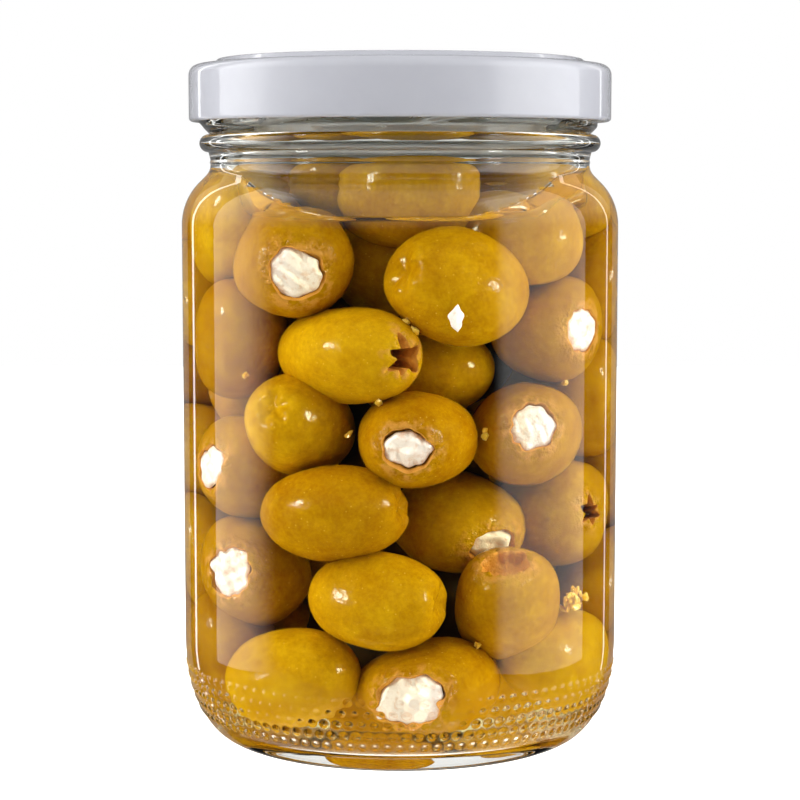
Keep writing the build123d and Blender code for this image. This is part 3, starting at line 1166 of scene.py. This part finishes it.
core_radius = 17.0
core_low, core_high = 9.0, 97.0
core_count = 48
core_points = [(0.0, core_low)]
for height in np.linspace(core_low, core_high, 40):
    core_points.append((core_radius * (0.9 + 0.1 * math.sin(height * 0.35)), height))
core_points.append((0.0, core_high + 2.0))
core = spun_mesh("hidden_olives", core_points, [core_count] * len(core_points))


def painted_shade_olives():
    """Olives deep in the jar, coloured near black as painted shade for where
    hardly any light comes.
    """
    material, tree = new_material("painted_shade_olives")
    place = add_node(tree, "ShaderNodeTexCoord").outputs["Object"]
    noise = add_node(tree, "ShaderNodeTexNoise", [("Vector", place)], Scale=60.0)
    ramp = add_node(tree, "ShaderNodeValToRGB", [("Fac", noise.outputs["Fac"])])
    # painted shade: these dark browns stand in for the shade deep among the olives
    ramp.color_ramp.elements[0].color = linear("1A0E02")
    ramp.color_ramp.elements[1].color = linear("4A3006")
    body = add_node(
        tree, "ShaderNodeBsdfPrincipled", [("Base Color", ramp.outputs["Color"])], Roughness=0.6,
        IOR=1.1,
    )
    add_node(tree, "ShaderNodeOutputMaterial", [("Surface", body.outputs[0])])
    return material


core.data.materials.append(painted_shade_olives())
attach(core, "root")
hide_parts("olives")

# Lid: pressed tinplate, lacquered gloss white, with a raised middle, a rounded
# shoulder, a plain skirt and a rolled edge.

lid_low, lid_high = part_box("lid")
lid_radius = lid_high.x / MM
lid_bottom = lid_low.z / MM
lid_top = lid_high.z / MM
lid_sheet = 0.3
panel_rise = lid_top - glass_height - lid_sheet
panel_inset = 5.8
panel_step = 0.9
panel_round = 0.5
lid_round = 2.1
curl_radius = 0.78
lid_count = 256


def lid_run(inset):
    """The sheet from the middle of the lid to the end of its rolled edge."""
    panel = lid_radius - panel_inset - inset * 0.3
    flat = rounded(
        [
            (0.0, lid_top - inset),
            (panel, lid_top - inset),
            (panel + panel_step, lid_top - panel_rise - inset),
            (lid_radius - inset, lid_top - panel_rise - inset),
            (lid_radius - inset, lid_bottom + curl_radius),
        ],
        [panel_round - inset, panel_round + inset, lid_round - inset],
        0.2,
    )
    curl = []
    for turn in np.radians(np.linspace(0, -270, 28))[1:]:
        size = curl_radius - inset
        curl.append(
            (
                lid_radius - curl_radius + size * math.cos(turn),
                lid_bottom + curl_radius + size * math.sin(turn),
            )
        )
    return divided(flat, 3.0) + [np.array(p) for p in curl]


def gloss_white_lacquer():
    """Baked white lacquer on tinplate: smooth, hard gloss, a touch cool."""
    material, tree = new_material("white_lacquer")
    place = add_node(tree, "ShaderNodeTexCoord").outputs["Object"]
    noise = add_node(tree, "ShaderNodeTexNoise", [("Vector", place)], Scale=260.0, Detail=2.0)
    ramp = add_node(tree, "ShaderNodeValToRGB", [("Fac", noise.outputs["Fac"])])
    ramp.color_ramp.elements[0].color = linear("ACADB5")
    ramp.color_ramp.elements[1].color = linear("B1B2B9")
    peel = add_node(
        tree, "ShaderNodeBump", [("Height", noise.outputs["Fac"])], Strength=0.05, Distance=0.0002
    )
    body = add_node(
        tree,
        "ShaderNodeBsdfPrincipled",
        [("Base Color", ramp.outputs["Color"]), ("Normal", peel.outputs[0])],
        Roughness=0.25,
        IOR=1.5,
        Coat_Weight=1.0,
        Coat_Roughness=0.015,
    )
    add_node(tree, "ShaderNodeOutputMaterial", [("Surface", body.outputs[0])])
    return material


lid_points = lid_run(lid_sheet)[::-1][:-1]
lid_points = [(0.0, lid_top - lid_sheet)] + lid_points[::-1] + lid_run(0.0)[::-1]
lid = spun_mesh("steel_lid", lid_points, [lid_count] * len(lid_points))
closed_up(lid, gloss_white_lacquer())
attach(lid, "root")
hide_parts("lid")

# Floor: a plain pale board, which isn't part of the jar.

floor_half = 3000.0
floor_drop = 0.05


def sheet(name, corners):
    """A flat piece with four corners."""
    return mesh_piece(name, corners, [(0, 1, 2, 3)])


def square(half, height):
    """Corners of a level square round the middle."""
    return [(x * half, y * half, height) for x, y in ((-1, -1), (1, -1), (1, 1), (-1, 1))]


def mirrored(tree):
    """1 for what the eye sees mirrored in glass or lacquer, 0 for the rest."""
    path = add_node(tree, "ShaderNodeLightPath")
    links = [(0, path.outputs["Is Glossy Ray"]), (1, path.outputs["Is Transmission Ray"])]
    return add_node(tree, "ShaderNodeMath", links, operation="SUBTRACT", use_clamp=True).outputs[0]


def pale_floor():
    """Matt white board that the eye sees as plain white, with a soft shadow.
    Mirrored in the wall it isn't there, nor is its front half seen through the
    glass, so that the lights at its sides show down to the heel."""
    material, tree = new_material("pale_floor")
    place = add_node(tree, "ShaderNodeTexCoord").outputs["Object"]
    depth = add_node(tree, "ShaderNodeSeparateXYZ", [(0, place)]).outputs["Y"]
    front = add_node(
        tree, "ShaderNodeMapRange", [("Value", depth)],
        From_Min=-0.075, From_Max=-0.055, To_Min=1.0, To_Max=0.0,
    ).outputs[0]
    body = add_node(tree, "ShaderNodeBsdfDiffuse", Color=linear("F2F2F2"))
    glow = add_node(tree, "ShaderNodeEmission", Color=linear("FFFFFF"), Strength=1.0)
    both = add_node(tree, "ShaderNodeAddShader", [(0, body.outputs[0]), (1, glow.outputs[0])])
    gone = add_node(tree, "ShaderNodeBsdfTransparent")
    path = add_node(tree, "ShaderNodeLightPath")
    passing = path.outputs["Is Transmission Ray"]
    through = add_node(tree, "ShaderNodeMath", [(0, passing), (1, front)], operation="MULTIPLY")
    links = [(0, mirrored(tree)), (1, through.outputs[0])]
    hidden = add_node(tree, "ShaderNodeMath", links, operation="MAXIMUM")
    links = [(0, path.outputs["Is Camera Ray"]), (1, passing)]
    white = add_node(tree, "ShaderNodeMath", links, operation="MAXIMUM")
    links = [(0, white.outputs[0]), (1, body.outputs[0]), (2, both.outputs[0])]
    seen = add_node(tree, "ShaderNodeMixShader", links)
    links = [(0, hidden.outputs[0]), (1, seen.outputs[0]), (2, gone.outputs[0])]
    mixed = add_node(tree, "ShaderNodeMixShader", links)
    add_node(tree, "ShaderNodeOutputMaterial", [("Surface", mixed.outputs[0])])
    return material


floor = sheet("floor", square(floor_half, -floor_drop))
floor.data.materials.append(pale_floor())

# Backdrop: a lit white panel behind the jar.

panel_place = 900.0
panel_half = 600.0
panel_low, panel_high = -600.0, 900.0


def lit_panel():
    """Evenly lit white paper, dim where the glass or the lacquer mirrors it."""
    material, tree = new_material("lit_panel")
    links = [("Value", mirrored(tree))]
    strength = add_node(tree, "ShaderNodeMapRange", links, To_Min=1.0, To_Max=0.25).outputs[0]
    glow = add_node(tree, "ShaderNodeEmission", [("Strength", strength)], Color=linear("FFFFFF"))
    add_node(tree, "ShaderNodeOutputMaterial", [("Surface", glow.outputs[0])])
    return material


upright = ((-1, panel_low), (1, panel_low), (1, panel_high), (-1, panel_high))
backdrop = sheet("backdrop", [(x * panel_half, panel_place, z) for x, z in upright])
backdrop.data.materials.append(lit_panel())

# Studio: soft lights at both sides, in front, above and under the base, tall
# panels and strips that only show mirrored, two small lamps that gleam on what
# lies inside the jar, and white all round as the eye sees it.

world = bpy.data.worlds.new("studio")
bpy.context.scene.world = world
world.use_nodes = True
world.node_tree.nodes.clear()
sky = world.node_tree
ambient = add_node(sky, "ShaderNodeBackground", Color=linear("FFFFFF"), Strength=0.04)
white = add_node(sky, "ShaderNodeBackground", Color=linear("FFFFFF"), Strength=1.0)
generated = add_node(sky, "ShaderNodeTexCoord").outputs["Generated"]
rise = add_node(sky, "ShaderNodeSeparateXYZ", [(0, generated)]).outputs["Z"]
overhead = add_node(
    sky, "ShaderNodeMapRange", [("Value", rise)], From_Max=0.25, To_Min=0.02, To_Max=0.6
).outputs[0]
dim = add_node(sky, "ShaderNodeBackground", [("Strength", overhead)], Color=linear("FFFFFF"))
path = add_node(sky, "ShaderNodeLightPath")
links = [(0, path.outputs["Is Glossy Ray"]), (1, ambient.outputs[0]), (2, dim.outputs[0])]
glossy = add_node(sky, "ShaderNodeMixShader", links)
links = [(0, path.outputs["Is Camera Ray"]), (1, glossy.outputs[0]), (2, white.outputs[0])]
seen = add_node(sky, "ShaderNodeMixShader", links)
add_node(sky, "ShaderNodeOutputWorld", [("Surface", seen.outputs[0])])


def lamp_strength(lamp):
    """Gives a lamp a node tree, which is returned with the input for its strength."""
    lamp.use_nodes = True
    tree = lamp.node_tree
    tree.nodes.clear()
    shine = add_node(tree, "ShaderNodeEmission")
    add_node(tree, "ShaderNodeOutputLight", [("Surface", shine.outputs[0])])
    return tree, shine.inputs["Strength"]


def soft_light(name, seen, bearing, distance, height, aim, width, tall, glow, fade=None):
    """A rectangular soft light at a bearing round the jar, turned to a height
    on its axis.  Glow is its brightness, and fade the two places across it,
    from 0 to 1, between which it comes up from dark to full.  Seen is matt for
    a light that lights matt surfaces, mirror for one that only shows mirrored,
    and gleam for one that only shows so on what lies inside the jar."""
    lamp = bpy.data.lights.new(name, "AREA")
    lamp.shape = "RECTANGLE"
    lamp.size, lamp.size_y = width, tall
    lamp.energy = glow * math.pi * width * tall
    if seen == "gleam":
        tree, strength = lamp_strength(lamp)
        walls = add_node(tree, "ShaderNodeLightPath").outputs["Transmission Depth"]
        inside = add_node(tree, "ShaderNodeMath", [(0, walls)], operation="GREATER_THAN", _1=1.5)
        tree.links.new(inside.outputs[0], strength)
    if fade is not None:
        tree, strength = lamp_strength(lamp)
        place = add_node(tree, "ShaderNodeNewGeometry").outputs["Parametric"]
        across = add_node(tree, "ShaderNodeSeparateXYZ", [(0, place)]).outputs["X"]
        rise = add_node(
            tree, "ShaderNodeMapRange", [("Value", across)], interpolation_type="SMOOTHSTEP",
            From_Min=fade[0], From_Max=fade[1],
        )
        tree.links.new(rise.outputs[0], strength)
    holder = bpy.data.objects.new(name, lamp)
    bpy.context.scene.collection.objects.link(holder)
    place = Vector(bearing_vector(bearing) * distance) + Vector((0, 0, height))
    holder.location = place
    holder.rotation_euler = (Vector((0, 0, aim)) - place).to_track_quat("-Z", "Y").to_euler()
    holder.visible_diffuse = seen == "matt"
    holder.visible_glossy = seen != "matt"
    holder.visible_transmission = seen != "matt"


soft_light("side_left", "matt", -80, 0.6, 0.34, 0.2, 0.60, 0.68, 4.9)
soft_light("side_right", "matt", 78, 0.6, 0.34, 0.2, 0.60, 0.68, 4.9)
soft_light("front_fill", "matt", 0, 0.85, 0.30, 0.06, 0.6, 0.5, 0.2)
soft_light("top", "matt", 0, 0.45, 0.95, 0.06, 0.8, 0.5, 3.4)
soft_light("under", "matt", 0, 0.0, -0.00002, 0.06, 0.08, 0.08, 0.8)
soft_light("gleam_left", "gleam", -62, 0.62, 0.26, 0.07, 0.09, 0.11, 1900.0)
soft_light("gleam_right", "gleam", 60, 0.62, 0.26, 0.07, 0.09, 0.11, 1900.0)
soft_light("panel_left", "mirror", -87, 0.6, 0.345, 0.345, 0.50, 0.95, 1.8, (1.0, 0.5))
soft_light("panel_right", "mirror", 78, 0.6, 0.345, 0.345, 0.72, 0.95, 1.4, (0.0, 0.16))
soft_light("strip_left", "mirror", -134.6, 0.6, 0.22, 0.22, 0.03, 1.2, 3.5)
soft_light("strip_right", "mirror", 134.6, 0.6, 0.22, 0.22, 0.02, 1.2, 2.5)

# Camera: a long lens, a little above the liquid, tipped down.

view = bpy.data.cameras.new("view")
view.lens = 101.9
view.sensor_width = 36.0
view.clip_start = 0.01
camera = bpy.data.objects.new("view", view)
bpy.context.scene.collection.objects.link(camera)
camera.location = (0.0, -0.460, 0.1133)
camera_tip = 5.6  # degrees below level
camera.rotation_euler = (math.radians(90 - camera_tip), 0.0, 0.0)
bpy.context.scene.camera = camera
bpy.context.scene.view_settings.view_transform = "Standard"
rays = bpy.context.scene.cycles
rays.transmission_bounces = 16
rays.transparent_max_bounces = 16
rays.max_bounces = 20
rays.caustics_refractive = False
rays.caustics_reflective = False
